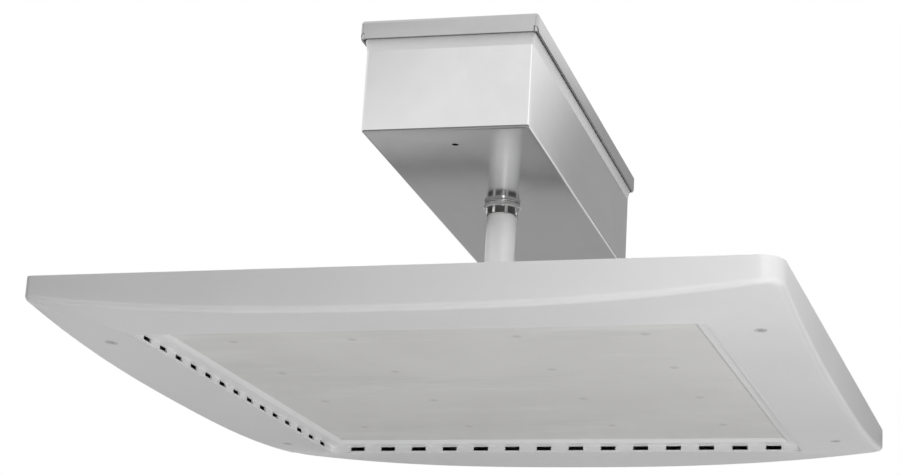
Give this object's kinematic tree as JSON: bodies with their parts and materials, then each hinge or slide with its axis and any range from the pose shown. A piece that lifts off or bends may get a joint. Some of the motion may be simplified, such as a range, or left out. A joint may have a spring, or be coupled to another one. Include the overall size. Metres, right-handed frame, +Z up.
{
  "type": "canopy light",
  "caption": "Square shallow canopy light: white head with a recessed frosted lens and vent slots, hung by a pipe nipple from a grey sheet-metal wiring box with a lift-off lid.",
  "frame": {"origin": "on the nipple's axis in the plane of the head's upper rim, where the hole in the canopy deck is centred", "axes": "+Z up along the nipple towards the wiring box, +X and +Y along the sides of the square head, the near side of the picture facing -Y"},
  "size_m": [0.48, 0.48, 0.2217],
  "materials": {
    "white_paint": "white powder coat, satin",
    "frosted_lens": "frosted flat sheet",
    "satin_grey_sheet": "satin grey sheet metal",
    "pipe_grey": "pale painted steel, bare zinc threads at the ends",
    "zinc_steel": "bright zinc plate",
    "mill_aluminium": "mill finish",
    "black_foam": "closed-cell foam",
    "board_white": "white solder mask",
    "led_phosphor": "phosphor under silicone",
    "ivory_plastic": "moulded nylon",
    "blue_plastic": "moulded nylon",
    "driver_case": "dark anodised extrusion",
    "red_plastic": "potted plastic case",
    "green_screw": "green dyed zinc",
    "brass": "machined"
  },
  "bodies": {
    "head": {"head_cover": "white_paint", "cover_screws": "white_paint", "cover_posts": "mill_aluminium", "lens_frame": "white_paint", "lens": "frosted_lens", "lens_gasket": "black_foam", "frame_screws": "zinc_steel", "heat_sink": "mill_aluminium", "led_board_1": "board_white", "led_board_2": "board_white", "led_board_3": "board_white", "led_board_4": "board_white", "led_chips": "led_phosphor", "board_screws": "zinc_steel", "head_connector": "ivory_plastic", "back_plate": "mill_aluminium", "sink_screws": "zinc_steel", "canopy_gasket": "black_foam", "hub_gasket": "black_foam", "hub": "zinc_steel", "hub_screws": "zinc_steel", "nipple": "pipe_grey", "hub_locknut": "zinc_steel", "upper_locknut": "zinc_steel", "bushing": "blue_plastic"},
    "wiring_box": {"box_body": "satin_grey_sheet", "driver_bracket": "satin_grey_sheet", "bracket_nuts": "zinc_steel", "driver": "driver_case", "driver_screws": "zinc_steel", "surge_protector": "red_plastic", "surge_nuts": "zinc_steel", "terminal_block": "ivory_plastic", "terminal_clamps": "brass", "terminal_nuts": "zinc_steel", "ground_screw": "green_screw"},
    "lid": {"box_lid": "satin_grey_sheet", "lid_gasket": "black_foam", "lid_screws": "zinc_steel"},
    "washer": {"sealing_washer": "black_foam"},
    "locknut": {"lower_locknut": "zinc_steel"}
  },
  "joints": [
    {"name": "box_swivel", "type": "hinge", "parent": "head", "child": "wiring_box", "pos_m": [0, 0, 0.114], "axis": [0, 0, 1], "range_deg": [-180, 180]},
    {"name": "lid_lift", "type": "slide", "parent": "wiring_box", "child": "lid", "axis": [0, 0, 1], "range_m": [0, 0.12]},
    {"name": "washer_slide", "type": "slide", "parent": "head", "child": "washer", "axis": [0, 0, -1], "range_m": [0, 0.0073]},
    {"name": "locknut_turn", "type": "hinge", "parent": "washer", "child": "locknut", "pos_m": [0, 0, 0.111], "axis": [0, 0, -1], "range_deg": [0, 1440]}
  ],
  "couplings": [
    {"joint": "washer_slide", "follows": "locknut_turn", "m_per_rad": 0.00028874}
  ]
}
